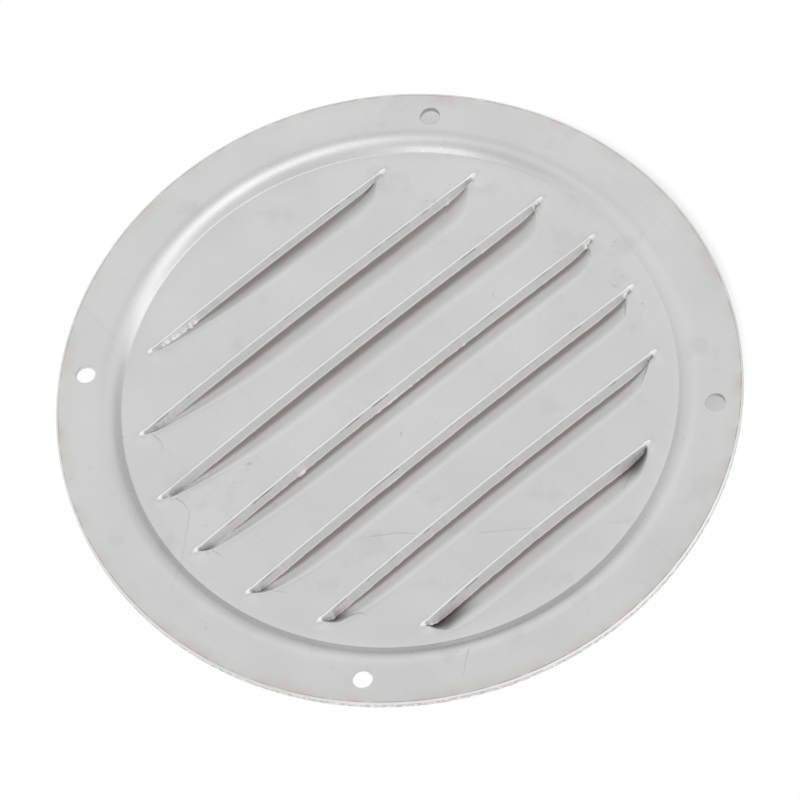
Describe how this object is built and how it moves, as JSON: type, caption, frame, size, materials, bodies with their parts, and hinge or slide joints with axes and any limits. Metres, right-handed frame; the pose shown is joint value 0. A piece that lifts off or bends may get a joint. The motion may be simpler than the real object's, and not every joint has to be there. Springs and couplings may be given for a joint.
{
  "type": "vent cover",
  "caption": "Round louvred vent cover pressed from one metal sheet, with a shallow dished centre, straight slits with pressed lips and a flat flange with screw holes.",
  "frame": {"origin": "centre of the flange's back face, on the axis of the screw circle", "axes": "+Z out of the flange's back face, toward the wall it is screwed to; +X along the slits; the pressed lips stand out toward -Z, each on the -Y side of its slit"},
  "size_m": [0.127, 0.127, 0.0063],
  "materials": {
    "sheet_metal": "bare mill finish, matte, lightly scratched and stained"
  },
  "bodies": {
    "root": {"vent_plate": "sheet_metal"}
  },
  "joints": []
}
